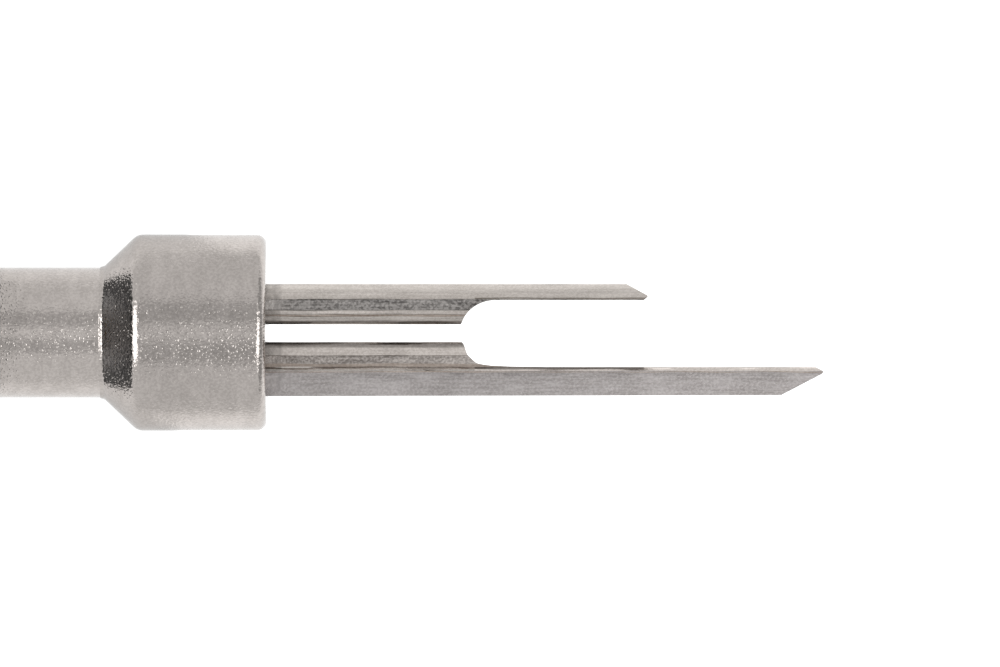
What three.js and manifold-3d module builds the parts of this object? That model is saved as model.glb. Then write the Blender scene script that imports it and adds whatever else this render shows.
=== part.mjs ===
// Spring bar tool: a double-ended watchmaker's tool with a two-pronged fork at the
// front and a fine push pin at the back, each held in a collet chuck on a six-sided barrel.
// Millimetres, +Z up. The tool lies on one flat of its barrel, +X runs along it to the
// fork's points, and the fork's two prongs lie side by side in the horizontal plane.

import * as THREE from 'three';
import { mergeVertices } from 'three/addons/utils/BufferGeometryUtils.js';
import Module from 'manifold-3d';

const wasm = await Module();
wasm.setup();

// ---- Driving dimensions -------------------------------------------------------------

// Whole tool
const TOTAL_LENGTH = 140;
const ROUND_SIDES = 32;            // sides of a turned surface
const COLLAR_SIDES = 48;
const SMALL_ROUND_SIDES = 16;      // sides of a thin pin or its hole
const RUNNING_GAP = 0.04;          // clearance between pieces that slide or turn
const FIT_GAP = 0.02;              // clearance left around pressed pieces

// Barrel
const ACROSS_FLATS = 9.6;
const BARREL_LENGTH = 71;
const BARREL_CORNER_RADIUS = 5.35; // the six corners are turned down to this radius
const BARREL_BORE_RADIUS = 2.5;
const GRIP_LENGTH = 22;            // round, turned length at each end
const GRIP_RADIUS = 4.5;
const GRIP_END_CHAMFER = 0.5;
const GRIP_SHOULDER = 0.9;         // length of the cone from the grip up to the hexagon
const RING_DEPTHS = [4.5, 11, 17.5];   // middle of each grip ring, from the barrel's end
const RING_WIDTH = 1.6;
const RING_INNER_RADIUS = 4.15;
const RING_OUTER_RADIUS = 4.72;

// Shanks and the cross pins that stop them
const SHANK_RADIUS = 2;
const SHANK_DEPTH = 24.5;          // how far a shank reaches into the barrel
const SHANK_END_CHAMFER = 0.4;
const STOP_PIN_RADIUS = 0.8;
const STOP_PIN_CLEARANCE = 0.1;    // from the shank's end to the stop pin
const STOP_PIN_RECESS = 0.15;      // how far the pin's ends sit below the flats

// Chuck: threaded nose, collet and nut, measured outwards from the barrel's end face
const NOSE_TAIL_LENGTH = 7.8;
const NOSE_TAIL_RADIUS = 3.5;
const NOSE_FLANGE_RADIUS = 4.4;
const NOSE_FLANGE_START = 0.05;
const NOSE_FLANGE_END = 0.85;
const NOSE_END = 6.6;
const NOSE_THREAD_RADIUS = 3.56;
const NOSE_CHAMFER = 0.35;
const COLLET_BORE_RADIUS = SHANK_RADIUS + RUNNING_GAP;
const COLLET_RADIUS = 2.8;
const COLLET_START = -7;
const COLLET_NECK_END = 7.2;
const COLLET_SHOULDER = 8.1;
const COLLET_SHOULDER_RADIUS = 3.36;
const COLLET_END = 10.4;
const COLLET_END_RADIUS = 2.61;
const COLLET_SLOT_COUNT = 3;
const COLLET_SLOT_WIDTH = 0.4;
const COLLET_SLOT_START = -2;
const NUT_START = 1.15;
const NUT_END = 12;
const NUT_RADIUS = 4.7;
const NUT_CHAMFER = 0.2;
const NUT_SEAT_START = 8.2;
const NUT_SEAT_START_RADIUS = 3.44;
const NUT_SEAT_END = 10.6;
const NUT_SEAT_END_RADIUS = 2.66;
const NUT_MOUTH_RADIUS = 2.2;

// Fork head, measured from the collar's front face
const COLLAR_TO_NUT = 8.45;        // from the collar's front face back to the nut's face
const COLLAR_RADIUS = 3.02;
const COLLAR_LENGTH = 5.05;        // cylinder and cone together
const COLLAR_CONE_LENGTH = 0.94;
const COLLAR_REAR_RADIUS = 2.08;
const COLLAR_FRONT_ROUND = 0.3;
const COLLAR_WALL = 1.6;           // front wall that the prongs come through
const SHANK_FACE = -1.65;          // front end of the fork's shank, inside the collar
const SOCKET_RADIUS = 1.62;
const SOCKET_END = -4.8;
const TANG_START = -4.6;
const TANG_END = -1.6;
const TANG_HALF_HEIGHT = 0.72;
const TANG_OUTER = 1.38;
const TANG_SLOT_HALF_WIDTH = 0.26; // half the slot between the two tangs
const SPACER_HALF_WIDTH = 0.22;
const RETAINING_PIN_RADIUS = 0.3;
const RETAINING_PIN_PLACE = -3.2;

// Prongs: distances from the collar's face (X) and from the tool's axis (Y)
const SHORT_REACH = 11.72;
const LONG_REACH = 17.12;
const SHORT_SLOT_FACE = 0.25;      // where each prong's slot side lies
const LONG_SLOT_FACE = 0.29;
const NOTCH_CENTRE = 7.04;         // centre of the oval on the short prong's side
const NOTCH_LENGTH_RADIUS = 1.09;
const NOTCH_SHORT_SIDE = 1.01;     // where the notch leaves each tine
const NOTCH_LONG_SIDE = 1.066;

// Push pin, measured outwards from the barrel's end face
const PIN_SHANK_SHOULDER = 15.4;
const PIN_CONE_END = 19.5;
const PIN_HOLDER_END = 22;
const PIN_HOLDER_RADIUS = 1;
const PIN_RADIUS = 0.5;
const PIN_ROOT = 14.2;
const PIN_STEP = 27.6;
const PIN_TIP_RADIUS = 0.38;

// Stations along the tool
const FRONT_POINT = TOTAL_LENGTH / 2;
const COLLAR_FACE = FRONT_POINT - LONG_REACH;
const BARREL_FRONT = COLLAR_FACE - COLLAR_TO_NUT - NUT_END;
const BARREL_BACK = BARREL_FRONT - BARREL_LENGTH;
const PIN_REACH = BARREL_BACK + TOTAL_LENGTH / 2;

// ---- Materials ----------------------------------------------------------------------

function metal(color, roughness) {
  return new THREE.MeshStandardMaterial({ color, roughness, metalness: 1 });
}

const satinSteel = metal(0xb4ada8, 0.32);
const groundSteel = metal(0xaaa49f, 0.4);
const springSteel = metal(0x9c9a98, 0.25);
const blackSteel = metal(0x1c1c1e, 0.38);
const blackAluminium = metal(0x222326, 0.45);
const brass = metal(0xb08d48, 0.35);
const rubber = new THREE.MeshStandardMaterial({ color: 0x151515, roughness: 0.85, metalness: 0 });

// ---- Solid helpers ------------------------------------------------------------------

// Reads a closed mesh as a solid, with shared vertices merged, collapsed triangles
// dropped and every face turned outwards.
function toSolid(geometry) {
  const bare = geometry.clone();
  bare.deleteAttribute('normal');
  bare.deleteAttribute('uv');
  const merged = mergeVertices(bare, 1e-5);
  const position = merged.attributes.position;
  const corners = [];
  for (let i = 0; i < merged.index.count; i += 3) {
    const [a, b, c] = [0, 1, 2].map((k) => merged.index.getX(i + k));
    if (a !== b && b !== c && c !== a) {
      corners.push([a, b, c]);
    }
  }
  const vertex = (i) => new THREE.Vector3().fromBufferAttribute(position, i);
  const volume = corners.reduce(
    (sum, [a, b, c]) => sum + vertex(a).dot(vertex(b).cross(vertex(c))), 0);
  const facing = volume < 0 ? corners.map(([a, b, c]) => [a, c, b]) : corners;
  return new wasm.Manifold(new wasm.Mesh({
    numProp: 3,
    vertProperties: new Float32Array(position.array),
    triVerts: new Uint32Array(facing.flat()),
  }));
}

function toGeometry(solid) {
  const mesh = solid.getMesh();
  const geometry = new THREE.BufferGeometry();
  geometry.setAttribute('position', new THREE.BufferAttribute(mesh.vertProperties, 3));
  geometry.setIndex(new THREE.BufferAttribute(mesh.triVerts, 1));
  geometry.computeVertexNormals();
  return geometry;
}

// A solid turned about the X axis. The outline is a list of [x, radius] that starts and
// ends on the axis, or closes on itself for a ring.
function turned(outline, sides = ROUND_SIDES) {
  const points = outline.map(([x, radius]) => new THREE.Vector2(radius, x));
  const geometry = new THREE.LatheGeometry(points, sides);
  geometry.rotateZ(-Math.PI / 2);
  return toSolid(geometry);
}

// A ring or tube turned about the X axis, from its open outline.
function turnedRing(outline, sides = ROUND_SIDES) {
  return turned([...outline, outline[0]], sides);
}

// A prism along X whose section is a list of [y, z] corners.
function prism(section, start, end) {
  const shape = new THREE.Shape(section.map(([y, z]) => new THREE.Vector2(y, z)));
  const geometry = new THREE.ExtrudeGeometry(shape, { depth: end - start, bevelEnabled: false });
  const axes = new THREE.Matrix4().makeBasis(
    new THREE.Vector3(0, 1, 0), new THREE.Vector3(0, 0, 1), new THREE.Vector3(1, 0, 0));
  geometry.applyMatrix4(axes);
  geometry.translate(start, 0, 0);
  return toSolid(geometry);
}

// A straight-sided cutter that stands along Z, from a shape in the X-Y plane.
function upright(shape, halfHeight) {
  const options = { depth: 2 * halfHeight, bevelEnabled: false, curveSegments: 16 };
  const geometry = new THREE.ExtrudeGeometry(shape, options);
  geometry.translate(0, 0, -halfHeight);
  return toSolid(geometry);
}

function rod(axis, radius, halfLength, x, sides = SMALL_ROUND_SIDES) {
  const geometry = new THREE.CylinderGeometry(radius, radius, 2 * halfLength, sides);
  if (axis === 'z') {
    geometry.rotateX(Math.PI / 2);
  }
  geometry.translate(x, 0, 0);
  return toSolid(geometry);
}

function rectangle(yLow, yHigh, halfHeight) {
  return [[yLow, -halfHeight], [yHigh, -halfHeight], [yHigh, halfHeight], [yLow, halfHeight]];
}

function piece(name, solid, material) {
  const mesh = new THREE.Mesh(toGeometry(solid), material);
  mesh.name = name;
  return mesh;
}

// ---- Prongs -------------------------------------------------------------------------

// The upper half of each prong's section, as [distance from the axis, height], from the
// slot outwards: a rounded rib beside the slot, a sunk channel, then the outer tine.
const SHORT_SECTION = [
  [SHORT_SLOT_FACE, 0.42], [0.4, 0.58], [0.5, 0.61], [0.68, 0.55],
  [0.7, 0.47], [1.03, 0.47], [1.05, 0.6], [1.2, 0.45], [1.4, 0.18], [1.5, 0.05],
];
const LONG_SECTION = [
  [LONG_SLOT_FACE, 0.42], [0.36, 0.52], [0.48, 0.56], [0.69, 0.61],
  [0.72, 0.5], [1.06, 0.5], [1.09, 0.6], [1.2, 0.66], [1.93, 0.66],
];
// The long prong's side of the notch, as [distance from the collar, distance from the axis].
const NOTCH_LONG_CURVE = [
  [6.01, LONG_SLOT_FACE], [6.17, 0.69], [6.43, 0.93], [6.66, 0.99], [6.9, 1.02],
  [7.5, 1.05], [8.6, NOTCH_LONG_SIDE],
];

// The whole outline of a prong's section. side is +1 for the short prong and -1 for the
// long one; grow moves the outline outwards by that clearance.
function prongSection(upperHalf, side, grow = 0) {
  const inner = upperHalf[0][0];
  const outer = upperHalf[upperHalf.length - 1][0];
  const middle = (inner + outer) / 2;
  const grown = upperHalf.map(([y, z]) => {
    const edge = y === inner || y === outer;
    const sideways = edge ? Math.sign(y - middle) * grow : 0;
    return [side * (y + sideways), z + grow];
  });
  const lower = grown.map(([y, z]) => [y, -z]).reverse();
  return [...grown, ...lower];
}

// The U-shaped notch that runs in from the points and leaves the outer tines standing.
function notch() {
  const open = LONG_REACH + 1;
  const shape = new THREE.Shape();
  shape.moveTo(open, NOTCH_SHORT_SIDE);
  shape.lineTo(NOTCH_CENTRE, NOTCH_SHORT_SIDE);
  shape.absellipse(NOTCH_CENTRE, 0, NOTCH_LENGTH_RADIUS, NOTCH_SHORT_SIDE,
    Math.PI / 2, Math.PI, false, 0);
  for (const [x, y] of NOTCH_LONG_CURVE) {
    shape.lineTo(x, -y);
  }
  shape.lineTo(open, -NOTCH_LONG_SIDE);
  return upright(shape, 2);
}

// The waste cut away to leave a bevelled point, from the corners of that waste.
function pointWaste(corners) {
  return upright(new THREE.Shape(corners.map(([x, y]) => new THREE.Vector2(x, y))), 2);
}

function shortPointWaste() {
  return pointWaste([
    [11.08, 1.51], [SHORT_REACH, 1.12], [11.6, NOTCH_SHORT_SIDE - 0.02],
    [12.5, NOTCH_SHORT_SIDE - 0.02], [12.5, 1.8], [11.08, 1.8],
  ]);
}

function longPointWaste() {
  return pointWaste([
    [15.82, -1.94], [17.09, -1.27], [LONG_REACH, -1.19], [16.88, -1.04],
    [18.5, -1.04], [18.5, -2.2], [15.82, -2.2],
  ]);
}

function prong(upperHalf, side, reach, waste) {
  const blade = prism(prongSection(upperHalf, side), TANG_END, reach);
  const tangInner = side * TANG_SLOT_HALF_WIDTH;
  const tangOuter = side * TANG_OUTER;
  const tangSection = rectangle(
    Math.min(tangInner, tangOuter), Math.max(tangInner, tangOuter), TANG_HALF_HEIGHT);
  const tang = prism(tangSection, TANG_START, TANG_END);
  return blade.add(tang).subtract(notch()).subtract(waste).subtract(retainingPinHole());
}

// ---- Fork head ----------------------------------------------------------------------

function retainingPinHole() {
  return rod('y', RETAINING_PIN_RADIUS + RUNNING_GAP, 2 * SHANK_RADIUS, RETAINING_PIN_PLACE);
}

function retainingPin() {
  return rod('y', RETAINING_PIN_RADIUS, SHANK_RADIUS - 2 * FIT_GAP, RETAINING_PIN_PLACE);
}

function tangSpacer() {
  const section = rectangle(-SPACER_HALF_WIDTH, SPACER_HALF_WIDTH, TANG_HALF_HEIGHT);
  return prism(section, TANG_START, SHANK_FACE - FIT_GAP).subtract(retainingPinHole());
}

function forkShank() {
  const back = -COLLAR_TO_NUT - NUT_END - SHANK_DEPTH;
  const body = turned([
    [back, 0], [back, SHANK_RADIUS - SHANK_END_CHAMFER], [back + SHANK_END_CHAMFER, SHANK_RADIUS],
    [SHANK_FACE, SHANK_RADIUS], [SHANK_FACE, SOCKET_RADIUS], [SOCKET_END, SOCKET_RADIUS],
    [SOCKET_END, 0],
  ]);
  return body.subtract(retainingPinHole());
}

function roundedFrontEdge(steps = 4) {
  const centreX = -COLLAR_FRONT_ROUND;
  const centreR = COLLAR_RADIUS - COLLAR_FRONT_ROUND;
  return Array.from({ length: steps + 1 }, (_, i) => {
    const angle = (Math.PI / 2) * (1 - i / steps);
    return [
      centreX + COLLAR_FRONT_ROUND * Math.cos(angle),
      centreR + COLLAR_FRONT_ROUND * Math.sin(angle),
    ];
  });
}

function forkCollar() {
  const bore = SHANK_RADIUS + FIT_GAP;
  const rear = -COLLAR_LENGTH;
  const body = turned([
    [-COLLAR_WALL, 0], [-COLLAR_WALL, bore], [rear, bore], [rear, COLLAR_REAR_RADIUS],
    [rear + COLLAR_CONE_LENGTH, COLLAR_RADIUS], ...roundedFrontEdge(), [0, 0],
  ], COLLAR_SIDES);
  const pocket = (upperHalf, side) =>
    prism(prongSection(upperHalf, side, RUNNING_GAP), -COLLAR_WALL - 1, 1);
  return body.subtract(pocket(SHORT_SECTION, 1)).subtract(pocket(LONG_SECTION, -1));
}

function forkHead() {
  const head = new THREE.Group();
  head.add(
    piece('short_prong', prong(SHORT_SECTION, 1, SHORT_REACH, shortPointWaste()), groundSteel),
    piece('long_prong', prong(LONG_SECTION, -1, LONG_REACH, longPointWaste()), groundSteel),
    piece('tang_spacer', tangSpacer(), springSteel),
    piece('retaining_pin', retainingPin(), springSteel),
    piece('fork_collar', forkCollar(), satinSteel),
    piece('fork_shank', forkShank(), satinSteel),
  );
  return head;
}

// ---- Chuck --------------------------------------------------------------------------

function nose() {
  const bore = COLLET_RADIUS + RUNNING_GAP;
  const tail = NOSE_TAIL_RADIUS - FIT_GAP;
  return turnedRing([
    [-NOSE_TAIL_LENGTH, bore], [-NOSE_TAIL_LENGTH, tail - NOSE_CHAMFER],
    [-NOSE_TAIL_LENGTH + NOSE_CHAMFER, tail], [NOSE_FLANGE_START, tail],
    [NOSE_FLANGE_START, NOSE_FLANGE_RADIUS], [NOSE_FLANGE_END, NOSE_FLANGE_RADIUS],
    [NOSE_FLANGE_END, NOSE_THREAD_RADIUS], [NOSE_END - NOSE_CHAMFER, NOSE_THREAD_RADIUS],
    [NOSE_END, NOSE_THREAD_RADIUS - NOSE_CHAMFER], [NOSE_END, bore],
  ]);
}

function collet() {
  const body = turnedRing([
    [COLLET_START, COLLET_BORE_RADIUS], [COLLET_START, COLLET_RADIUS],
    [COLLET_NECK_END, COLLET_RADIUS], [COLLET_SHOULDER, COLLET_SHOULDER_RADIUS],
    [COLLET_END, COLLET_END_RADIUS], [COLLET_END, COLLET_BORE_RADIUS],
  ]);
  const length = COLLET_END + 1 - COLLET_SLOT_START;
  const slots = Array.from({ length: COLLET_SLOT_COUNT }, (_, i) => {
    const geometry = new THREE.BoxGeometry(length, 4, COLLET_SLOT_WIDTH);
    geometry.translate(COLLET_SLOT_START + length / 2, 2, 0);
    geometry.rotateX((i * 2 * Math.PI) / COLLET_SLOT_COUNT);
    return toSolid(geometry);
  });
  return slots.reduce((solid, slot) => solid.subtract(slot), body);
}

function chuckNut() {
  const thread = NOSE_THREAD_RADIUS + RUNNING_GAP;
  return turnedRing([
    [NUT_START, thread], [NUT_START, NUT_RADIUS - NUT_CHAMFER],
    [NUT_START + NUT_CHAMFER, NUT_RADIUS], [NUT_END - NUT_CHAMFER, NUT_RADIUS],
    [NUT_END, NUT_RADIUS - NUT_CHAMFER], [NUT_END, NUT_MOUTH_RADIUS],
    [NUT_SEAT_END, NUT_MOUTH_RADIUS], [NUT_SEAT_END, NUT_SEAT_END_RADIUS],
    [NUT_SEAT_START, NUT_SEAT_START_RADIUS], [NUT_SEAT_START, thread],
  ]);
}

function chuck(end) {
  const group = new THREE.Group();
  group.add(
    piece(`${end}_nose`, nose(), springSteel),
    piece(`${end}_collet`, collet(), brass),
    piece(`${end}_chuck_nut`, chuckNut(), blackSteel),
  );
  return group;
}

// ---- Barrel -------------------------------------------------------------------------

function stopPinPlace() {
  return SHANK_DEPTH + STOP_PIN_CLEARANCE + STOP_PIN_RADIUS;
}

// The turned envelope of one barrel end, as [x, radius] from the middle out to the end,
// with a groove for each grip ring.
function barrelEndOutline() {
  const end = BARREL_LENGTH / 2;
  const grooveRadius = RING_INNER_RADIUS - RUNNING_GAP;
  const halfGroove = RING_WIDTH / 2 + RUNNING_GAP;
  const grooves = RING_DEPTHS.toReversed().flatMap((depth) => [
    [end - depth - halfGroove, GRIP_RADIUS], [end - depth - halfGroove, grooveRadius],
    [end - depth + halfGroove, grooveRadius], [end - depth + halfGroove, GRIP_RADIUS],
  ]);
  return [
    [end - GRIP_LENGTH - GRIP_SHOULDER, BARREL_CORNER_RADIUS], [end - GRIP_LENGTH, GRIP_RADIUS],
    ...grooves,
    [end - GRIP_END_CHAMFER, GRIP_RADIUS], [end, GRIP_RADIUS - GRIP_END_CHAMFER], [end, 0],
  ];
}

function barrel() {
  const half = BARREL_LENGTH / 2;
  const frontOutline = barrelEndOutline();
  const backOutline = frontOutline.map(([x, radius]) => [-x, radius]).toReversed();
  const cornerReach = ACROSS_FLATS / Math.sqrt(3);
  const hexagon = Array.from({ length: 6 }, (_, i) => {
    const angle = (i * Math.PI) / 3;
    return [cornerReach * Math.cos(angle), cornerReach * Math.sin(angle)];
  });
  const counterbore = NOSE_TAIL_LENGTH + FIT_GAP;
  const hollow = turned([
    [-half - 1, 0], [-half - 1, NOSE_TAIL_RADIUS], [-half + counterbore, NOSE_TAIL_RADIUS],
    [-half + counterbore, BARREL_BORE_RADIUS], [half - counterbore, BARREL_BORE_RADIUS],
    [half - counterbore, NOSE_TAIL_RADIUS], [half + 1, NOSE_TAIL_RADIUS], [half + 1, 0],
  ]);
  const pinHole = (x) => rod('z', STOP_PIN_RADIUS + FIT_GAP, ACROSS_FLATS, x);
  const pinX = half - stopPinPlace();
  return turned([...backOutline, ...frontOutline])
    .intersect(prism(hexagon, -half - 1, half + 1))
    .subtract(hollow)
    .subtract(pinHole(pinX))
    .subtract(pinHole(-pinX));
}

function gripRing(depth) {
  const half = RING_WIDTH / 2;
  const crown = 0.7 * half;
  return turnedRing([
    [-depth - half, RING_INNER_RADIUS], [-depth - crown, RING_OUTER_RADIUS],
    [-depth + crown, RING_OUTER_RADIUS], [-depth + half, RING_INNER_RADIUS],
  ]);
}

// What belongs to one end of the barrel, measured outwards from its end face.
function barrelFittings(end) {
  const group = new THREE.Group();
  RING_DEPTHS.forEach((depth, i) => {
    group.add(piece(`${end}_grip_ring_${i + 1}`, gripRing(depth), rubber));
  });
  const stopPin = rod('z', STOP_PIN_RADIUS, ACROSS_FLATS / 2 - STOP_PIN_RECESS, -stopPinPlace());
  group.add(piece(`${end}_stop_pin`, stopPin, springSteel));
  return group;
}

// ---- Push pin -----------------------------------------------------------------------

function pinShank() {
  const bore = PIN_RADIUS + FIT_GAP;
  const edge = 0.15;
  return turned([
    [-SHANK_DEPTH, 0], [-SHANK_DEPTH, SHANK_RADIUS - SHANK_END_CHAMFER],
    [-SHANK_DEPTH + SHANK_END_CHAMFER, SHANK_RADIUS], [PIN_SHANK_SHOULDER, SHANK_RADIUS],
    [PIN_CONE_END, PIN_HOLDER_RADIUS], [PIN_HOLDER_END - edge, PIN_HOLDER_RADIUS],
    [PIN_HOLDER_END, PIN_HOLDER_RADIUS - edge], [PIN_HOLDER_END, bore],
    [PIN_ROOT - FIT_GAP, bore], [PIN_ROOT - FIT_GAP, 0],
  ]);
}

function pinPoint() {
  const edge = 0.12;
  return turned([
    [PIN_ROOT, 0], [PIN_ROOT, PIN_RADIUS], [PIN_STEP, PIN_RADIUS],
    [PIN_STEP + edge, PIN_TIP_RADIUS], [PIN_REACH - edge, PIN_TIP_RADIUS],
    [PIN_REACH, PIN_TIP_RADIUS - edge], [PIN_REACH, 0],
  ], SMALL_ROUND_SIDES);
}

function pushPin() {
  const group = new THREE.Group();
  group.add(
    piece('pin_shank', pinShank(), satinSteel),
    piece('pin_point', pinPoint(), springSteel),
  );
  return group;
}

// ---- Assembly -----------------------------------------------------------------------

function at(x, group, turnedRound = false) {
  group.position.x = x;
  group.rotation.z = turnedRound ? Math.PI : 0;
  return group;
}

const tool = new THREE.Group();
const barrelPiece = piece('barrel', barrel(), blackAluminium);
barrelPiece.position.x = (BARREL_FRONT + BARREL_BACK) / 2;
tool.add(
  barrelPiece,
  at(BARREL_FRONT, barrelFittings('front')),
  at(BARREL_BACK, barrelFittings('rear'), true),
  at(BARREL_FRONT, chuck('front')),
  at(BARREL_BACK, chuck('rear'), true),
  at(COLLAR_FACE, forkHead()),
  at(BARREL_BACK, pushPin(), true),
);
tool.position.z = ACROSS_FLATS / 2;

export default tool;
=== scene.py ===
import math

import bmesh
import bpy
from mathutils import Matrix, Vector, noise


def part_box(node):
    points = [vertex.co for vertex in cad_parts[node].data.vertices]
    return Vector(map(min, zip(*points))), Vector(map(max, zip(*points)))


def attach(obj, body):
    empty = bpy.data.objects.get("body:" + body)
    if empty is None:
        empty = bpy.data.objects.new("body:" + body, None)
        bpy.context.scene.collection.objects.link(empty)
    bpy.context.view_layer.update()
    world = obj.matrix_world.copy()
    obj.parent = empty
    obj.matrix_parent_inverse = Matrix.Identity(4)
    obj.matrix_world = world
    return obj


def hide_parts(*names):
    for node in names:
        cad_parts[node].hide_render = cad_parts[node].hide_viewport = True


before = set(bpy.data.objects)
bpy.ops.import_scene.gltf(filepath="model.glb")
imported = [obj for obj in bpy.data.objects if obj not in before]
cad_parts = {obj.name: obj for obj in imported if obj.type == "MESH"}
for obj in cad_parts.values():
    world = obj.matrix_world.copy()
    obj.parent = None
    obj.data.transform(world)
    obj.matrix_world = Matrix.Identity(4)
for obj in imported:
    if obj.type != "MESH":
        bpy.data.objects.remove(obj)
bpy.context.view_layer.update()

# ---- Sizes and places, in metres --------------------------------------------------------

MM = 0.001
FULL_TURN = 2 * math.pi


def middle(node):
    low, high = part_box(node)
    return (low + high) / 2


def half_width(node):
    low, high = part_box(node)
    return (high.y - low.y) / 2


AXIS_Z = middle("barrel").z
COLLAR_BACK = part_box("fork_collar")[0].x
COLLAR_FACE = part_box("fork_collar")[1].x
COLLAR_RADIUS = half_width("fork_collar")
SHANK_RADIUS = half_width("fork_shank")
FRONT_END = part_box("barrel")[1].x
BACK_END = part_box("barrel")[0].x
BARREL_LENGTH = FRONT_END - BACK_END
ACROSS_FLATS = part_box("barrel")[1].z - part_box("barrel")[0].z
NUT_RADIUS = half_width("front_chuck_nut")
NUT_MOUTH = 2.2 * MM           # radius of the hole in the nut's front face
POCKET_DEPTH = 1.6 * MM        # how deep the prongs stand in the collar
ROOT_BAND = 0.46 * MM           # length next to the collar where the prongs' colour is blotchy and root_shade times as bright
MERGE_DISTANCE = 1e-8
ON_AXIS = 1e-7                 # a smaller radius counts as a point on the axis
CREASE = math.radians(30)      # faces that meet at more than this angle keep a sharp edge
PRONG_CREASE = math.radians(14)


def scaled(points):
    """The same points, given in millimetres, in metres."""
    return [tuple(value * MM for value in point) for point in points]


# ---- Mesh helpers -------------------------------------------------------------------------

def make_object(name, vertices, faces, smooth=True, finishes=None):
    """A mesh piece. finishes gives each face's material index."""
    mesh = bpy.data.meshes.new(name)
    mesh.from_pydata([tuple(v) for v in vertices], [], faces)
    if finishes:
        mesh.polygons.foreach_set("material_index", finishes)
    shaper = bmesh.new()
    shaper.from_mesh(mesh)
    bmesh.ops.remove_doubles(shaper, verts=shaper.verts, dist=MERGE_DISTANCE)
    bmesh.ops.dissolve_degenerate(shaper, edges=shaper.edges, dist=MERGE_DISTANCE)
    bmesh.ops.recalc_face_normals(shaper, faces=shaper.faces)
    shaper.to_mesh(mesh)
    shaper.free()
    mesh.polygons.foreach_set("use_smooth", [smooth] * len(mesh.polygons))
    piece = bpy.data.objects.new(name, mesh)
    bpy.context.scene.collection.objects.link(piece)
    return piece


def weigh_normals(piece):
    """Keeps flat faces looking flat beside their rounded edges."""
    modifier = piece.modifiers.new("weighted_normals", "WEIGHTED_NORMAL")
    modifier.keep_sharp = True
    modifier.weight = 80
    return piece


def rounded(outline, radius, steps=4, closed=False):
    """The outline with each corner replaced by a small curve that starts radius before it,
    or nearly halfway along where the stretch is too short for that."""
    longest = 0.45
    count = len(outline)
    result = []
    for i, point in enumerate(outline):
        if not closed and i in (0, count - 1):
            result.append(point)
            continue
        here = Vector(point)
        before = Vector(outline[i - 1])
        after = Vector(outline[(i + 1) % count])
        reach = min(radius, longest * (before - here).length, longest * (after - here).length)
        start = here + (before - here).normalized() * reach
        end = here + (after - here).normalized() * reach
        for k in range(steps + 1):
            t = k / steps
            curve = start * (1 - t) ** 2 + here * (2 * t * (1 - t)) + end * t ** 2
            result.append(tuple(curve))
    return result


def lathe(name, outline, segments=192, closed=False, radius_at=None):
    """Turns an outline of (x, radius) about the tool's axis. A closed outline ends where it
    starts. radius_at(x, radius, angle) gives the radius where the piece isn't round."""
    vertices = []
    rings = []
    for x, radius in outline:
        if radius < ON_AXIS:
            rings.append([len(vertices)] * segments)
            vertices.append((x, 0.0, AXIS_Z))
            continue
        ring = []
        for k in range(segments):
            angle = FULL_TURN * k / segments
            r = radius_at(x, radius, angle) if radius_at else radius
            ring.append(len(vertices))
            vertices.append((x, r * math.cos(angle), AXIS_Z + r * math.sin(angle)))
        rings.append(ring)
    faces = []
    pairs = list(zip(rings, rings[1:] + rings[:1])) if closed else list(zip(rings, rings[1:]))
    for first, second in pairs:
        for k in range(segments):
            n = (k + 1) % segments
            corners = [first[k], first[n], second[n], second[k]]
            unique = list(dict.fromkeys(corners))
            if len(unique) > 2:
                faces.append(unique)
    return weigh_normals(make_object(name, vertices, faces))


def cut(piece, cutter):
    """Takes the cutter's volume out of the piece and removes the cutter."""
    modifier = piece.modifiers.new("cut", "BOOLEAN")
    modifier.operation = "DIFFERENCE"
    modifier.solver = "EXACT"
    modifier.object = cutter
    bpy.context.view_layer.update()
    graph = bpy.context.evaluated_depsgraph_get()
    mesh = bpy.data.meshes.new_from_object(piece.evaluated_get(graph))
    piece.modifiers.clear()
    piece.data = mesh
    bpy.data.objects.remove(cutter)
    return piece


def prism(name, section, start, end):
    """A straight bar along X with a section of (y, z above the axis)."""
    count = len(section)
    vertices = [(x, y, AXIS_Z + z) for x in (start, end) for y, z in section]
    faces = [(k, (k + 1) % count, count + (k + 1) % count, count + k) for k in range(count)]
    faces += [tuple(range(count)), tuple(range(count, 2 * count))]
    return make_object(name, vertices, faces, smooth=False)


# ---- Shader helpers -----------------------------------------------------------------------

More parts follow.
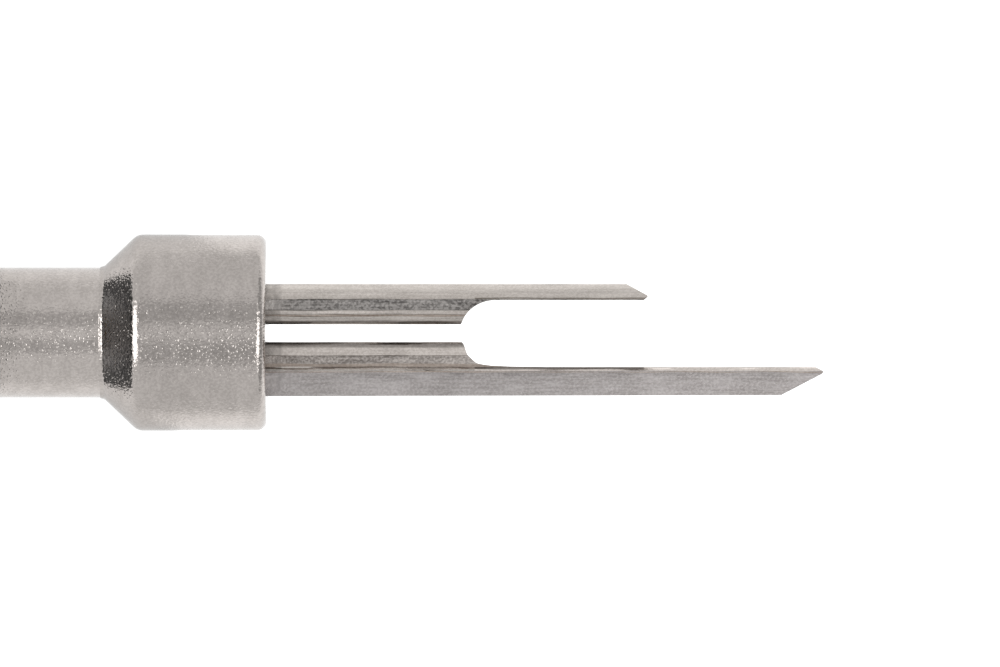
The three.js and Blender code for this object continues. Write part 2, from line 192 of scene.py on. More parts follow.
class Nodes:
    """A short way to build a node tree: nodes are made by type and wired by socket name."""

    def __init__(self, name):
        self.material = bpy.data.materials.new(name)
        self.material.use_nodes = True
        self.tree = self.material.node_tree
        self.shader = self.tree.nodes["Principled BSDF"]
        self.position = self.add("ShaderNodeTexCoord").outputs["Object"]

    def add(self, kind, **values):
        node = self.tree.nodes.new(kind)
        for key, value in values.items():
            setattr(node, key, value)
        return node

    def link(self, source, target):
        self.tree.links.new(source, target)

    def stretched(self, x, y, z):
        """Object coordinates scaled by this much along each axis."""
        mapping = self.add("ShaderNodeMapping")
        mapping.inputs["Scale"].default_value = (x, y, z)
        self.link(self.position, mapping.inputs["Vector"])
        return mapping.outputs["Vector"]

    def noise(self, vector, scale, detail=3.0, roughness=0.5):
        node = self.add("ShaderNodeTexNoise")
        node.inputs["Scale"].default_value = scale
        node.inputs["Detail"].default_value = detail
        node.inputs["Roughness"].default_value = roughness
        self.link(vector, node.inputs["Vector"])
        return node.outputs["Fac"]

    def ramp(self, factor, low, high, start, end):
        """Maps factor from low..high to start..end, and keeps it between them."""
        node = self.add("ShaderNodeMapRange")
        self.link(factor, node.inputs["Value"])
        for key, value in (("From Min", low), ("From Max", high), ("To Min", start), ("To Max", end)):
            node.inputs[key].default_value = value
        return node.outputs["Result"]

    def mix(self, factor, first, second):
        """Blends two colours by a factor output."""
        node = self.add("ShaderNodeMix", data_type="RGBA")
        self.link(factor, node.inputs["Factor"])
        for socket, value in ((node.inputs["A"], first), (node.inputs["B"], second)):
            self.colour(socket, value)
        return node.outputs["Result"]

    def colour(self, socket, value):
        if isinstance(value, tuple):
            socket.default_value = (*value, 1.0)
        else:
            self.link(value, socket)

    def total(self, *values):
        """The sum of several outputs."""
        result = values[0]
        for value in values[1:]:
            node = self.add("ShaderNodeMath", operation="ADD")
            self.link(result, node.inputs[0])
            self.link(value, node.inputs[1])
            result = node.outputs["Value"]
        return result

    def bump(self, height, distance, strength=1.0, under=None):
        node = self.add("ShaderNodeBump")
        node.inputs["Strength"].default_value = strength
        node.inputs["Distance"].default_value = distance
        self.link(height, node.inputs["Height"])
        if under is not None:
            self.link(under, node.inputs["Normal"])
        return node.outputs["Normal"]

    def finish(self, colour, roughness, normal=None, metallic=0.0, **uniform):
        self.colour(self.shader.inputs["Base Color"], colour)
        self.link(roughness, self.shader.inputs["Roughness"])
        self.shader.inputs["Metallic"].default_value = metallic
        if normal is not None:
            self.link(normal, self.shader.inputs["Normal"])
        for key, value in uniform.items():
            self.shader.inputs[key].default_value = value
        return self.material


# ---- Materials ----------------------------------------------------------------------------

def scaled_colour(colour, gain):
    return tuple(min(1.0, value * gain) for value in colour)


def satin_nickel(name, gain, edge_tint):
    """Nickel-plated, finely blasted steel: soft reflections broken by a tight grain and by
    small pits. gain is how bright the plating is and edge_tint how bright it stays where it
    turns away from the eye."""
    n = Nodes(name)
    grain = n.noise(n.position, scale=12000, detail=1.0)
    pits = n.ramp(n.noise(n.position, scale=15000, detail=0.0), 0.58, 0.84, 0.0, 1.0)
    swell = n.noise(n.position, scale=700, detail=2.0)
    rub = n.noise(n.stretched(1.0, 0.35, 0.35), scale=2600, detail=3.0, roughness=0.65)
    haze = n.noise(n.stretched(1.0, 1.4, 1.4), scale=420, detail=3.0)
    dark = scaled_colour((0.405, 0.374, 0.353), gain)
    light = scaled_colour((0.545, 0.505, 0.479), gain)
    share = n.total(n.ramp(haze, 0.38, 0.62, 0.0, 0.25), n.ramp(rub, 0.4, 0.6, 0.0, 0.3),
                    n.ramp(grain, 0.4, 0.6, 0.0, 0.45))
    colour = n.mix(share, dark, light)
    roughness = n.total(n.ramp(haze, 0.3, 0.7, 0.06, 0.09), n.ramp(grain, 0.4, 0.6, 0.0, 0.05))
    waves = n.bump(swell, 0.02 * MM, strength=0.5)
    grained = n.bump(grain, 0.0085 * MM, under=waves)
    normal = n.bump(pits, 0.0054 * MM, under=grained)
    n.colour(n.shader.inputs["Specular Tint"], (edge_tint, edge_tint, edge_tint))
    return n.finish(colour, roughness, normal, metallic=1.0)


def along_the_fork(n, start, end, shift=None):
    """0 up to start and 1 from end on, both measured from the collar's face. shift moves
    the change to and fro along the fork."""
    split = n.add("ShaderNodeSeparateXYZ")
    n.link(n.position, split.inputs["Vector"])
    place = split.outputs["X"] if shift is None else n.total(split.outputs["X"], shift)
    return n.ramp(place, COLLAR_FACE + start, COLLAR_FACE + end, 0.0, 1.0)


def prong_steel(name, dark, light, root_shade, rough=0.18, scratch=0.0012 * MM, grit=0.002 * MM,
                painted_point_gain=1.0, blend=0.04 * MM):
    """Steel ground along the prongs: long fine scratches over a light grain, as high as
    scratch and grit say. Next to the collar it is blotchy and its colour is root_shade
    times as bright. blend is half the width of that change.
    Towards the points it becomes painted_point_gain times as bright, which is a painted reflection."""
    n = Nodes(name)
    scratches = n.noise(n.stretched(0.05, 1.0, 1.0), scale=15000, detail=1.0)
    grain = n.noise(n.stretched(0.85, 1.0, 1.0), scale=14500, detail=1.0)
    haze = n.noise(n.stretched(0.4, 1.0, 1.0), scale=1300, detail=3.0)
    blotches = n.noise(n.stretched(1.6, 1.0, 1.0), scale=3800, detail=3.0)
    share = n.total(n.ramp(haze, 0.4, 0.6, 0.0, 0.3), n.ramp(scratches, 0.4, 0.6, 0.0, 0.25),
                    n.ramp(grain, 0.42, 0.58, 0.0, 0.45))
    worn = n.mix(share, dark, light)
    # Painted reflection: the same colour made brighter, used towards the points.
    bright = n.mix(share, scaled_colour(dark, painted_point_gain), scaled_colour(light, painted_point_gain))
    whole = n.mix(along_the_fork(n, 6.5 * MM, 12.5 * MM), worn, bright)
    average = tuple((low + high) / 2 for low, high in zip(dark, light))
    contrast = 0.18
    root = n.mix(n.ramp(blotches, 0.35, 0.65, 0.0, 1.0),
                 scaled_colour(average, root_shade * (1 - contrast)),
                 scaled_colour(average, root_shade * (1 + contrast)))
    wander = n.ramp(blotches, 0.3, 0.7, -blend, blend)
    edge = along_the_fork(n, ROOT_BAND - blend, ROOT_BAND + blend, wander)
    colour = n.mix(edge, root, whole)
    roughness = n.total(n.ramp(haze, 0.3, 0.7, rough, rough + 0.08),
                        n.ramp(scratches, 0.3, 0.7, 0.0, 0.08))
    lines = n.bump(scratches, scratch)
    normal = n.bump(grain, grit, under=lines)
    return n.finish(colour, roughness, normal, metallic=1.0)


def spring_steel():
    """Bright wire and turned steel, with fine rings round the axis."""
    n = Nodes("spring_steel")
    rings = n.noise(n.stretched(1.0, 0.08, 0.08), scale=16000, detail=2.0)
    colour = n.mix(rings, (0.52, 0.515, 0.51), (0.62, 0.61, 0.6))
    normal = n.bump(rings, 0.0015 * MM)
    return n.finish(colour, n.ramp(rings, 0.3, 0.7, 0.16, 0.26), normal, metallic=1.0)


def black_oxide():
    """Black-oxidised steel, worn a little brighter where the noise peaks, with a painted highlight
    of light grey round the mouth that the shank goes in by."""
    n = Nodes("black_oxide")
    grain = n.noise(n.position, scale=14000, detail=3.0)
    wear = n.noise(n.position, scale=900, detail=4.0, roughness=0.7)
    radius = n.add("ShaderNodeVectorMath", operation="DISTANCE")
    n.link(n.stretched(0.0, 1.0, 1.0), radius.inputs[0])
    radius.inputs[1].default_value = (0.0, 0.0, AXIS_Z)
    # Painted highlight: light grey round the nut's mouth, fading out across its face.
    mouth = n.ramp(radius.outputs["Value"], NUT_MOUTH + 0.3 * MM, NUT_MOUTH + 1.2 * MM, 0.8, 0.0)
    rubbed = n.mix(n.ramp(wear, 0.6, 0.78, 0.0, 1.0), (0.085, 0.087, 0.089), (0.23, 0.23, 0.233))
    colour = n.mix(mouth, rubbed, (0.55, 0.555, 0.565))
    normal = n.bump(grain, 0.003 * MM)
    return n.finish(colour, n.ramp(grain, 0.3, 0.7, 0.3, 0.42), normal, metallic=0.9)


def black_anodised():
    """Black anodised aluminium with faint turning lines."""
    n = Nodes("black_anodised")
    lines = n.noise(n.stretched(1.0, 0.1, 0.1), scale=9000, detail=3.0)
    grain = n.noise(n.position, scale=20000, detail=2.0)
    colour = n.mix(lines, (0.020, 0.021, 0.024), (0.034, 0.035, 0.039))
    normal = n.bump(grain, 0.002 * MM, under=n.bump(lines, 0.001 * MM))
    return n.finish(colour, n.ramp(grain, 0.3, 0.7, 0.34, 0.46), normal, metallic=0.7)


def turned_brass():
    """Brass with the rings that turning leaves."""
    n = Nodes("turned_brass")
    rings = n.noise(n.stretched(1.0, 0.06, 0.06), scale=12000, detail=3.0)
    colour = n.mix(rings, (0.56, 0.40, 0.17), (0.70, 0.53, 0.26))
    normal = n.bump(rings, 0.002 * MM)
    return n.finish(colour, n.ramp(rings, 0.3, 0.7, 0.2, 0.34), normal, metallic=1.0)


def grip_rubber():
    """Matt black rubber with a little dust on it."""
    n = Nodes("grip_rubber")
    grain = n.noise(n.position, scale=9000, detail=4.0, roughness=0.6)
    dust = n.noise(n.position, scale=1800, detail=3.0)
    colour = n.mix(n.ramp(dust, 0.45, 0.75, 0.0, 1.0), (0.012, 0.012, 0.012), (0.035, 0.034, 0.033))
    normal = n.bump(grain, 0.006 * MM)
    return n.finish(colour, n.ramp(grain, 0.3, 0.7, 0.55, 0.75), normal)


COLLAR_NICKEL = satin_nickel("collar_nickel", gain=1.0, edge_tint=0.75)
SHANK_NICKEL = satin_nickel("shank_nickel", gain=1.08, edge_tint=1.0)
# The prongs' finishes, each with its darkest and its lightest colour.
PRONG_FINISHES = {
    "rim": prong_steel("ground_rim", (0.44, 0.403, 0.373), (0.60, 0.556, 0.52), rough=0.16,
                       root_shade=0.78),
    "facet": prong_steel("ground_facet", (0.39, 0.358, 0.331), (0.53, 0.493, 0.46), root_shade=0.72),
    "side": prong_steel("ground_side", (0.36, 0.33, 0.306), (0.49, 0.455, 0.424), root_shade=0.84),
    # The flat strips are painted brighter towards the points, a painted reflection.
    "flat": prong_steel("ground_flat", (0.325, 0.300, 0.293), (0.495, 0.467, 0.461), rough=0.20,
                        grit=0.008 * MM, root_shade=0.96, painted_point_gain=1.17, blend=0.12 * MM),
    "polish": prong_steel("polished_rib", (0.56, 0.508, 0.472), (0.78, 0.72, 0.675), rough=0.16,
                          root_shade=0.66),
    "line": prong_steel("dark_line", (0.18, 0.155, 0.135), (0.28, 0.25, 0.225), rough=0.26,
                        scratch=0.001 * MM, root_shade=0.8),
    "cut": prong_steel("cut_edge", (0.245, 0.222, 0.206), (0.37, 0.336, 0.314), rough=0.24,
                       scratch=0.001 * MM, root_shade=0.68),
    "stain": prong_steel("stained_edge", (0.32, 0.266, 0.228), (0.47, 0.408, 0.365), rough=0.30,
                         scratch=0.001 * MM, grit=0.005 * MM, root_shade=0.9, blend=0.12 * MM),
    "dull": prong_steel("unground_channel", (0.087, 0.081, 0.077), (0.415, 0.393, 0.377), rough=0.30,
                        scratch=0.001 * MM, grit=0.013 * MM, root_shade=1.55, blend=0.15 * MM),
    "worn": prong_steel("worn_channel", (0.183, 0.162, 0.149), (0.505, 0.465, 0.438), rough=0.30,
                        scratch=0.001 * MM, grit=0.013 * MM, root_shade=1.0, blend=0.12 * MM),
}
SPRING_STEEL = spring_steel()
BLACK_OXIDE = black_oxide()
BLACK_ANODISED = black_anodised()
TURNED_BRASS = turned_brass()
GRIP_RUBBER = grip_rubber()


def dress(piece, material, slot, body, *nodes):
    """Gives a new piece its material, and puts it on its body in place of nodes. slot is not used."""
    piece.data.materials.clear()
    piece.data.materials.append(material)
    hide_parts(*nodes)
    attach(piece, body)
    return piece


# ---- Prongs -------------------------------------------------------------------------------

TANG_SLOT_HALF = 0.26 * MM
SHORT_SLOT_FACE = 0.25 * MM             # each prong's slot face, measured from the axis
LONG_SLOT_FACE = 0.29 * MM
SHORT_OUTER_FACE = 1.495 * MM
NOTCH_START = COLLAR_FACE + 5.9 * MM
NOTCH_CENTRE = COLLAR_FACE + 7.04 * MM
NOTCH_CORNER_END = COLLAR_FACE + 7.1 * MM
NOTCH_LENGTH_RADIUS = 1.09 * MM
NOTCH_SHORT_SIDE = 0.997 * MM
NOTCH_LONG_SIDE = 1.062 * MM
BLADE_START = COLLAR_FACE - POCKET_DEPTH
TANG_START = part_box("long_prong")[0].x
TANG_OUTER = 1.38 * MM
TANG_HEIGHT = 0.72 * MM
STATION_STEP = 0.12 * MM                # between the sections that a prong is lofted through
FINE_STEP = 0.025 * MM                  # the same, round the notch's corner
STEP_WIDTH = 1e-6                       # the tang's height changes within this length
LINE_DRIFT = 0.02 * MM                  # how far the ground lines wander sideways
DRIFT_LENGTH = 1.3 * MM                 # along the prong, before they turn
DRIFT_SPREAD = 0.6                      # how differently neighbouring lines wander

# Upper half of each section, from the slot outwards: distance from the axis, height, and the
# finish of the surface from there to the next point.
SHORT_PROFILE = [
    (0.25, 0.38, "facet"), (0.265, 0.43, "facet"), (0.30, 0.49, "cut"), (0.35, 0.54, "cut"),
    (0.37, 0.55, "facet"), (0.405, 0.57, "facet"), (0.44, 0.58, "facet"), (0.497, 0.58, "stain"),
    (0.512, 0.552, "stain"), (0.536, 0.552, "stain"), (0.552, 0.58, "facet"), (0.58, 0.578, "polish"),
    (0.66, 0.556, "facet"), (0.685, 0.54, "dull"), (0.694, 0.47, "dull"), (1.020, 0.47, "lip"),
    (1.028, 0.592, "lip"), (1.074, 0.590, "rim"), (1.11, 0.560, "rim"), (1.20, 0.455, "side"),
    (1.34, 0.275, "facet"), (1.42, 0.15, "facet"), (1.475, 0.055, "facet"), (1.495, 0.02, "facet"),
]
LONG_PROFILE = [
    (0.29, 0.34, "facet"), (0.305, 0.40, "facet"), (0.34, 0.46, "cut"), (0.39, 0.51, "cut"),
    (0.44, 0.542, "facet"), (0.475, 0.555, "polish"), (0.70, 0.628, "worn"), (0.71, 0.61, "worn"),
    (0.718, 0.50, "worn"), (0.96, 0.50, "stain"), (1.05, 0.522, "burr"), (1.085, 0.552, "ridge"),
    (1.13, 0.605, "bead"), (1.18, 0.645, "flat"), (1.20, 0.65, "stain"), (1.225, 0.642, "flat"),
    (1.245, 0.655, "flat"), (1.275, 0.66, "flat"), (1.60, 0.66, "flat"),
    (1.95, 0.66, "cut"), (1.958, 0.655, "cut"),
]
SHORT_TOP = scaled([point[:2] for point in SHORT_PROFILE])
LONG_TOP = scaled([point[:2] for point in LONG_PROFILE])
NOTCH_LINE_START = COLLAR_FACE + 6.4 * MM     # the dark line along the notch, a painted reflection, runs from here
NOTCH_LINE_END = COLLAR_FACE + 11.6 * MM      # to here
# The finishes of the strips that change: before the dark line along the notch, along it and after it.
# Along it the dark line is painted in, a painted reflection of the other prong's inner wall.
CHANGING_FINISHES = {
    "burr": ("rim", "line", "polish"), "ridge": ("polish", "cut", "polish"),
    "bead": ("facet", "polish", "polish"), "lip": ("rim", "line", "line"),
}
# The long prong's side of the notch, as (distance from the collar, distance from the axis).
NOTCH_LONG_CURVE = scaled([
    (6.01, 0.29), (6.06, 0.36), (6.10, 0.46), (6.13, 0.57), (6.17, 0.67), (6.23, 0.74),
    (6.33, 0.83), (6.43, 0.92), (6.50, 0.955), (6.66, 0.987), (6.90, 1.018), (7.50, 1.047),
    (8.60, 1.062),
])


def height_on(top, distance):
    """Height of the section's upper outline at this distance from the axis."""
    for (y0, z0), (y1, z1) in zip(top, top[1:]):
        if y0 < y1 and distance <= y1:
            t = (distance - y0) / (y1 - y0)
            return z0 + (z1 - z0) * max(0.0, t)
    return top[-1][1]


def short_notch(x):
    """How far the notch reaches from the axis on the short prong's side."""
    if x >= NOTCH_CENTRE:
        return NOTCH_SHORT_SIDE
    across = (NOTCH_CENTRE - x) / NOTCH_LENGTH_RADIUS
    if across >= 1:
        return SHORT_SLOT_FACE
    return max(SHORT_SLOT_FACE, NOTCH_SHORT_SIDE * math.sqrt(1 - across * across))


def long_notch(x):
    """How far the notch reaches from the axis on the long prong's side."""
    place = x - COLLAR_FACE
    if place <= NOTCH_LONG_CURVE[0][0]:
        return LONG_SLOT_FACE
    for before, after in zip(NOTCH_LONG_CURVE, NOTCH_LONG_CURVE[1:]):
        if place <= after[0]:
            return line_between(place, before, after)
    return NOTCH_LONG_SIDE


def line_between(x, start, end):
    """Value at x on the line from start to end, both (x, value)."""
    t = (x - start[0]) / (end[0] - start[0])
    return start[1] + (end[1] - start[1]) * t


def stations(start, end, marks, step):
    """Evenly spaced places from start to end that also hold every mark."""
    places = sorted({start, end, *[m for m in marks if start < m < end]})
    result = []
    for a, b in zip(places, places[1:]):
        count = max(1, round((b - a) / step))
        result += [a + (b - a) * k / count for k in range(count)]
    return result + [end]


def prong_section(x, top, inner, outer, drift):
    """One closed section as (distance, height) pairs, clipped to inner..outer. drift(k) is
    how far the outline's point k wanders here."""
    if x < BLADE_START:
        upper = [(min(max(y, inner), outer), TANG_HEIGHT) for y, _ in top]
    else:
        wandered = []
        for k, (y, z) in enumerate(top):
            before = wandered[-1][0] if wandered else y
            wandered.append((max(before, y + drift(k)), z))
        ends = {edge: height_on(wandered, edge) for edge in (inner, outer)}
        clipped = [(min(max(y, inner), outer), y, z) for y, z in wandered]
        upper = [(place, z if place == y else ends[place]) for place, y, z in clipped]
    return upper + [(y, -z) for y, z in reversed(upper)]


def build_prong(name, side, profile, edge_inner, edge_outer, marks, end, seed):
    """A prong lofted through its sections, from the tang to the point. edge_inner(x) and
    edge_outer(x) are its two edges' distances from the axis. side is 1 towards +Y."""
    top = scaled([point[:2] for point in profile])
    kinds = [point[2] for point in profile]
    dense = stations(NOTCH_START, NOTCH_CORNER_END, [], FINE_STEP)
    ends = [BLADE_START - STEP_WIDTH, BLADE_START]
    places = stations(TANG_START, end, [*ends, *dense, *marks], STATION_STEP)
    rows = []
    for x in places:
        if x < BLADE_START:
            inner, outer = TANG_SLOT_HALF, TANG_OUTER
        else:
            inner, outer = edge_inner(x), edge_outer(x)

        def drift(k):
            share = 0.0 if k in (0, len(top) - 1) else 1.0
            return share * LINE_DRIFT * noise.noise(Vector((x / DRIFT_LENGTH, DRIFT_SPREAD * k, seed)))

        section = prong_section(x, top, inner, outer, drift)
        rows.append([(x, side * y, AXIS_Z + z) for y, z in section])
    width = len(rows[0])
    vertices = [v for row in rows for v in row]
    around = kinds[:-1] + ["flat"] + kinds[-2::-1] + ["cut"]
    names = list(PRONG_FINISHES)
    faces = []
    finishes = []
    for i in range(len(rows) - 1):
        a, b = i * width, (i + 1) * width
        for k in range(width):
            n = (k + 1) % width
            faces.append((a + k, a + n, b + n, b + k))
            finishes.append(names.index(finish_at(around[k], (places[i] + places[i + 1]) / 2)))
    faces += [tuple(range(width)), tuple((len(rows) - 1) * width + k for k in range(width))]
    finishes += [names.index("flat")] * 2
    piece = make_object(name, vertices, faces, finishes=finishes)
    for material in PRONG_FINISHES.values():
        piece.data.materials.append(material)
    for face in piece.data.polygons:
        upright = abs(face.normal.z) < 0.3
        faces_the_slot = side * face.normal.y < -0.1
        if upright and faces_the_slot:
            face.material_index = names.index("cut")
    mark_sharp_edges(piece, PRONG_CREASE)
    return weigh_normals(piece)


def finish_at(kind, x):
    """The tang is plain, and some strips change where the painted dark line along the notch starts and
    where it ends.
    """
    if x < BLADE_START:
        return "flat"
    zone = (x > NOTCH_LINE_START) + (x > NOTCH_LINE_END)
    return CHANGING_FINISHES[kind][zone] if kind in CHANGING_FINISHES else kind


def mark_sharp_edges(piece, limit):
    """Splits the shading where two faces meet at more than this angle."""
    shaper = bmesh.new()
    shaper.from_mesh(piece.data)
    for edge in shaper.edges:
        if len(edge.link_faces) == 2:
            edge.smooth = edge.calc_face_angle() < limit
    shaper.to_mesh(piece.data)
    shaper.free()


def short_prong():
    """The thinner prong, on the +Y side. Its outer edge slopes in to the point."""
    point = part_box("short_prong")[1].x
    shoulder = COLLAR_FACE + 11.08 * MM
    back = COLLAR_FACE + 11.6 * MM

    def inner(x):
        if x > back:
            return line_between(x, (back, NOTCH_SHORT_SIDE), (point, 1.10 * MM))
        return short_notch(x)

    def outer(x):
        if x > shoulder:
            return line_between(x, (shoulder, SHORT_OUTER_FACE), (point, 1.14 * MM))
        return SHORT_OUTER_FACE

    marks = [shoulder, back, NOTCH_LINE_START]
    return build_prong("short_prong_blade", 1, SHORT_PROFILE, inner, outer, marks, point, seed=1.0)


def long_prong():
    """The thicker prong, on the -Y side, with a long bevel on its outer edge."""
    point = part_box("long_prong")[1].x
    shoulder = COLLAR_FACE + 15.82 * MM
    back = COLLAR_FACE + 16.88 * MM
    nose = COLLAR_FACE + 17.08 * MM
    root_edge = 1.958 * MM
    shoulder_edge = 1.925 * MM
    nose_edge = 1.27 * MM

    def inner(x):
        if x > back:
            return line_between(x, (back, NOTCH_LONG_SIDE), (point, 1.185 * MM))
        return long_notch(x)

    def outer(x):
        if x > nose:
            return line_between(x, (nose, nose_edge), (point, 1.22 * MM))
        if x > shoulder:
            return line_between(x, (shoulder, shoulder_edge), (nose, nose_edge))
        return line_between(x, (COLLAR_FACE, root_edge), (shoulder, shoulder_edge))

    marks = [shoulder, back, nose, NOTCH_LINE_START, NOTCH_LINE_END]
    return build_prong("long_prong_blade", -1, LONG_PROFILE, inner, outer, marks, point, seed=5.0)


for make, node in ((short_prong, "short_prong"), (long_prong, "long_prong")):
    blade = make()
    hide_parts(node)
    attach(blade, "fork_head")


# ---- Fork collar and shank ----------------------------------------------------------------

CONE_BACK = COLLAR_BACK + 0.05 * MM
CONE_FRONT = COLLAR_BACK + 1.07 * MM
CONE_ROUND = 0.18 * MM
FRONT_ROUND = 0.3 * MM
SKIRT_LENGTH = 0.12 * MM                # the thin edge behind the cone


def arc(centre, radius, start, end, steps):
    """Points (x, r) on a circle, by angles in degrees from +X towards +r."""
    angles = [math.radians(start + (end - start) * k / steps) for k in range(steps + 1)]
    return [(centre[0] + radius * math.cos(a), centre[1] + radius * math.sin(a)) for a in angles]


def fork_collar():
    """A cone and a round body with a bore for the shank and a pocket for each prong."""
    bore = SHANK_RADIUS + 0.02 * MM
    wall = COLLAR_FACE - POCKET_DEPTH
    skirt = CONE_BACK - SKIRT_LENGTH
    rear = [(wall, bore), (skirt, bore)] + rounded([
        (skirt, bore + 0.005 * MM), (CONE_BACK, bore + 0.03 * MM),
        (CONE_FRONT, COLLAR_RADIUS), (CONE_FRONT + 1.0 * MM, COLLAR_RADIUS),
    ], CONE_ROUND, steps=10)
    front = arc((COLLAR_FACE - FRONT_ROUND, COLLAR_RADIUS - FRONT_ROUND), FRONT_ROUND, 90, 0, 14)
    outline = [(wall, 0.0)] + rear + front + [(COLLAR_FACE, 0.0)]
    piece = lathe("collar_shell", outline, segments=288)
    piece.modifiers.clear()
    past = 1 * MM
    for top, side in ((SHORT_TOP, 1), (LONG_TOP, -1)):
        half = [(side * y, z) for y, z in top]
        section = half + [(y, -z) for y, z in reversed(half)]
        cut(piece, prism("pocket", section, wall - past, COLLAR_FACE + past))
    mark_sharp_edges(piece, CREASE)
    return weigh_normals(piece)


def fork_shank():
    """A plain rod with a chamfered back end, let into the collar up to the pockets."""
    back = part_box("fork_shank")[0].x
    front = COLLAR_FACE - POCKET_DEPTH - 0.1 * MM
    chamfer = 0.4 * MM
    outline = rounded([
        (back, 0.0), (back, SHANK_RADIUS - chamfer), (back + chamfer, SHANK_RADIUS),
        (front, SHANK_RADIUS), (front, 0.0),
    ], 0.08 * MM)
    return lathe("fork_shank_rod", outline)


dress(fork_collar(), COLLAR_NICKEL, "satin_steel", "fork_head", "fork_collar")
dress(fork_shank(), SHANK_NICKEL, "satin_steel", "fork_head", "fork_shank")

for node in ("tang_spacer", "retaining_pin"):
    inner_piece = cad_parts[node]
    inner_piece.data.materials.clear()
    inner_piece.data.materials.append(SPRING_STEEL)


# ---- Chucks -------------------------------------------------------------------------------

# The outlines of the chucks and of the push pin are in millimetres: the distance outwards from
# the barrel's end and the radius.
FLUTES = 40
FLUTE_DEPTH = 0.22 * MM
FLUTE_RUNOUT = 0.35 * MM
FLUTE_START = 2.3
FLUTE_LENGTH = 8.3
FLUTE_SAMPLES = 40
JAWS = 3


def outward(x, end_x, direction):
    """A place measured outwards from a barrel end."""
    return end_x + direction * x


def placed(outline, end_x, direction):
    """An outline measured outwards from a barrel end, in the tool's own places."""
    return [(outward(x, end_x, direction), radius) for x, radius in outline]


def ease(t):
    """Rises smoothly from 0 to 1 as t does, and stays level outside."""
    t = min(max(t, 0.0), 1.0)
    return t * t * (3 - 2 * t)


def chuck_nut(name, end_x, direction):
    """A nut with lengthwise flutes, a threaded bore and a taper inside that closes the collet."""
    crown = 4.7
    mouth = NUT_MOUTH / MM
    outer = [(1.15, 3.6), (1.15, 4.3), (1.5, 4.62), (2.0, crown), (FLUTE_START, crown)]
    band = [(FLUTE_START + FLUTE_LENGTH * k / FLUTE_SAMPLES, crown) for k in range(1, FLUTE_SAMPLES + 1)]
    front = [(11.1, crown), (11.8, crown), (12.0, 4.5), (12.0, mouth)]
    inside = [(10.6, mouth), (10.6, 2.66), (8.2, 3.44), (8.2, 3.6)]
    outline = scaled(outer + band + front + inside)
    edges = rounded(outline, 0.08 * MM, steps=3, closed=True)
    outside_depth = 0.5 * MM

    def fluted(x, radius, angle):
        if radius < NUT_RADIUS - outside_depth:
            return radius
        from_start = abs(x - end_x) - FLUTE_START * MM
        from_end = FLUTE_LENGTH * MM - from_start
        depth = ease(from_start / FLUTE_RUNOUT) * ease(from_end / FLUTE_RUNOUT)
        wave = (0.5 + 0.5 * math.cos(FLUTES * angle)) ** 0.7
        return radius - FLUTE_DEPTH * depth * wave

    return lathe(name, placed(edges, end_x, direction), segments=FLUTES * 12, closed=True,
                 radius_at=fluted)


def chuck_collet(name, end_x, direction):
    """A tapered sleeve slotted into three jaws."""
    outline = scaled([
        (-7, 2.04), (-7, 2.8), (7.2, 2.8), (8.1, 3.36), (10.4, 2.61), (10.4, 2.04),
    ])
    edges = rounded(outline, 0.08 * MM, steps=3, closed=True)
    piece = lathe(name, placed(edges, end_x, direction), segments=128, closed=True)
    piece.modifiers.clear()
    slot = scaled([(0.5, -0.2), (4, -0.2), (4, 0.2), (0.5, 0.2)])
    ends = sorted([outward(-2 * MM, end_x, direction), outward(11 * MM, end_x, direction)])
    for k in range(JAWS):
        angle = FULL_TURN * k / JAWS
        along = Vector((0.0, math.cos(angle), math.sin(angle)))
        across = Vector((0.0, -math.sin(angle), math.cos(angle)))
        corners = [along * r + across * w for r, w in slot]
        cut(piece, prism("slot", [(c.y, c.z) for c in corners], *ends))
    mark_sharp_edges(piece, CREASE)
    return weigh_normals(piece)


def chuck_nose(name, end_x, direction):
    """The threaded nose that is pressed into the barrel and carries the nut."""
    first = 0.95
    pitch = 0.5
    count = 11
    thread = []
    for k in range(count):
        x = first + pitch * k
        thread += [(x, 3.56), (x + pitch / 2, 3.28)]
    outline = scaled(
        [(-7.8, 2.84), (-7.8, 3.2), (-7.5, 3.48), (0.05, 3.48), (0.05, 4.4), (0.85, 4.4), (0.85, 3.4)]
        + thread + [(6.6, 3.2), (6.6, 2.84)])
    edges = rounded(outline, 0.07 * MM, steps=2, closed=True)
    return lathe(name, placed(edges, end_x, direction), segments=144, closed=True)


for end, end_x, direction in (("front", FRONT_END, 1), ("rear", BACK_END, -1)):
    dress(chuck_nut(f"{end}_nut_shell", end_x, direction), BLACK_OXIDE, "black_steel",
          f"{end}_nut", f"{end}_chuck_nut")
    dress(chuck_collet(f"{end}_collet_jaws", end_x, direction), TURNED_BRASS, "brass",
          f"{end}_collet", f"{end}_collet")
    dress(chuck_nose(f"{end}_nose_thread", end_x, direction), SPRING_STEEL, "spring_steel",
          "handle", f"{end}_nose")


# ---- Barrel -------------------------------------------------------------------------------

GRIP_RADIUS = 4.5 * MM
GRIP_LENGTH = 22 * MM                   # all lengths here are measured from the barrel's end
GRIP_START = 21.95 * MM
TAPER_START = 22.95 * MM                # the hexagon's corners taper down to the grip from here
TAPER_LENGTH = 0.95 * MM
TAPER_STEPS = 24
CORNER_RADIUS = 5.35 * MM
RING_DEPTHS = scaled([(4.5, 11.0, 17.5)])[0]
GROOVE_HALF = 0.84 * MM
GROOVE_FLOOR = 4.11 * MM
BORE_RADIUS = 2.5 * MM
NOSE_SEAT_RADIUS = 3.5 * MM
NOSE_SEAT_DEPTH = 7.82 * MM
KNURL_COUNT = 32
KNURL_PITCH = FULL_TURN * GRIP_RADIUS / KNURL_COUNT
KNURL_DEPTH = 0.2 * MM
KNURL_RUNOUT = 0.22 * MM
KNURL_MARGIN = 0.35 * MM                # plain metal beside each groove
KNURL_SAMPLES = 8
BARREL_SEGMENTS = KNURL_COUNT * KNURL_SAMPLES * 2


